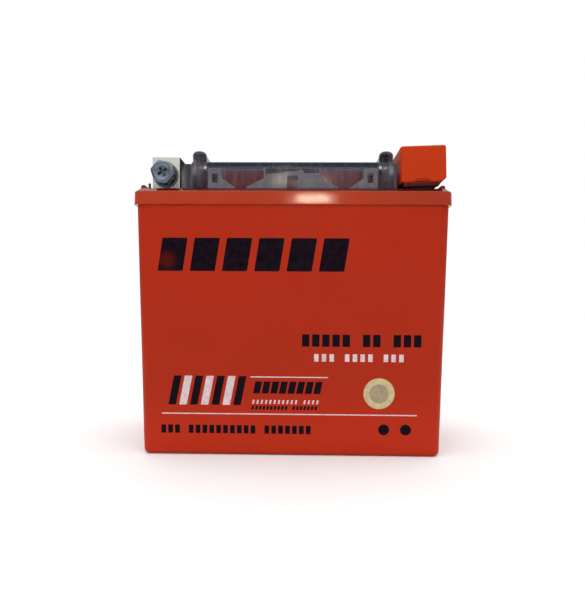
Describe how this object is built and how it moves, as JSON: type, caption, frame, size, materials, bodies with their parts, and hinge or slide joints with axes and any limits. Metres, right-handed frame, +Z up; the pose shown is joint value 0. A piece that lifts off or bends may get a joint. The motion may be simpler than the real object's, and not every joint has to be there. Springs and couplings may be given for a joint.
{
  "type": "motorcycle battery",
  "caption": "Upright sealed starter battery: orange drafted case, skirted lid, smoke-clear cover with guard posts, slotted block terminals, one bolted and one under an orange hood.",
  "frame": {"origin": "centre of the flat underside of the case", "axes": "+Z up; +X along the long side, towards the hooded positive terminal; -Y out of the printed front face, towards which the terminal bolts point"},
  "size_m": [0.15, 0.087, 0.1473],
  "materials": {
    "case_orange": "gloss",
    "lid_orange": "gloss",
    "hood_orange": "satin",
    "smoke_clear": "gloss",
    "clip_grey": "satin",
    "valve_rubber": "matte",
    "plated_brass": "satin",
    "nut_steel": "satin",
    "bolt_steel": "satin",
    "lead": "satin",
    "positive_paste": "matte",
    "negative_paste": "matte",
    "glass_mat": "matte",
    "seal_resin": "satin",
    "print_black": "satin",
    "print_white": "satin",
    "badge_print": "gloss"
  },
  "bodies": {
    "battery": {"case": "case_orange", "front_clip_centre": "clip_grey", "front_clip_left": "clip_grey", "front_clip_right": "clip_grey", "intercell_link_1": "lead", "intercell_link_2": "lead", "intercell_link_3": "lead", "intercell_link_4": "lead", "intercell_link_5": "lead", "lid": "lid_orange", "negative_mark": "valve_rubber", "negative_nut": "nut_steel", "negative_plates_1": "negative_paste", "negative_plates_2": "negative_paste", "negative_plates_3": "negative_paste", "negative_plates_4": "negative_paste", "negative_plates_5": "negative_paste", "negative_plates_6": "negative_paste", "negative_post": "lead", "negative_seal": "seal_resin", "negative_terminal": "plated_brass", "positive_nut": "nut_steel", "positive_plates_1": "positive_paste", "positive_plates_2": "positive_paste", "positive_plates_3": "positive_paste", "positive_plates_4": "positive_paste", "positive_plates_5": "positive_paste", "positive_plates_6": "positive_paste", "positive_post": "lead", "positive_seal": "seal_resin", "positive_terminal": "plated_brass", "rear_clip_centre": "clip_grey", "rear_clip_left": "clip_grey", "rear_clip_right": "clip_grey", "separators_1": "glass_mat", "separators_2": "glass_mat", "separators_3": "glass_mat", "separators_4": "glass_mat", "separators_5": "glass_mat", "separators_6": "glass_mat", "valve_cap_1": "valve_rubber", "valve_cap_2": "valve_rubber", "valve_cap_3": "valve_rubber", "valve_cap_4": "valve_rubber", "valve_cap_5": "valve_rubber", "valve_cap_6": "valve_rubber"},
    "cover": {"top_cover": "smoke_clear"},
    "hood": {"positive_cap": "hood_orange"},
    "bolt_washers": {"flat_washer": "bolt_steel", "spring_washer": "bolt_steel"},
    "bolt": {"negative_bolt": "bolt_steel"}
  },
  "joints": [
    {"name": "cover_lift", "type": "slide", "parent": "battery", "child": "cover", "axis": [0, 0, 1], "range_m": [0, 0.03]},
    {"name": "hood_lift", "type": "slide", "parent": "battery", "child": "hood", "axis": [0, 0, 1], "range_m": [0, 0.03]},
    {"name": "bolt_travel", "type": "slide", "parent": "battery", "child": "bolt_washers", "axis": [0, -1, 0], "range_m": [0, 0.0045]},
    {"name": "bolt_turn", "type": "hinge", "parent": "bolt_washers", "child": "bolt", "pos_m": [-0.061, -0.0378, 0.1347], "axis": [0, -1, 0], "range_deg": [0, 1630]}
  ],
  "couplings": [
    {"joint": "bolt_turn", "follows": "bolt_travel", "rad_per_m": 6283.2}
  ]
}
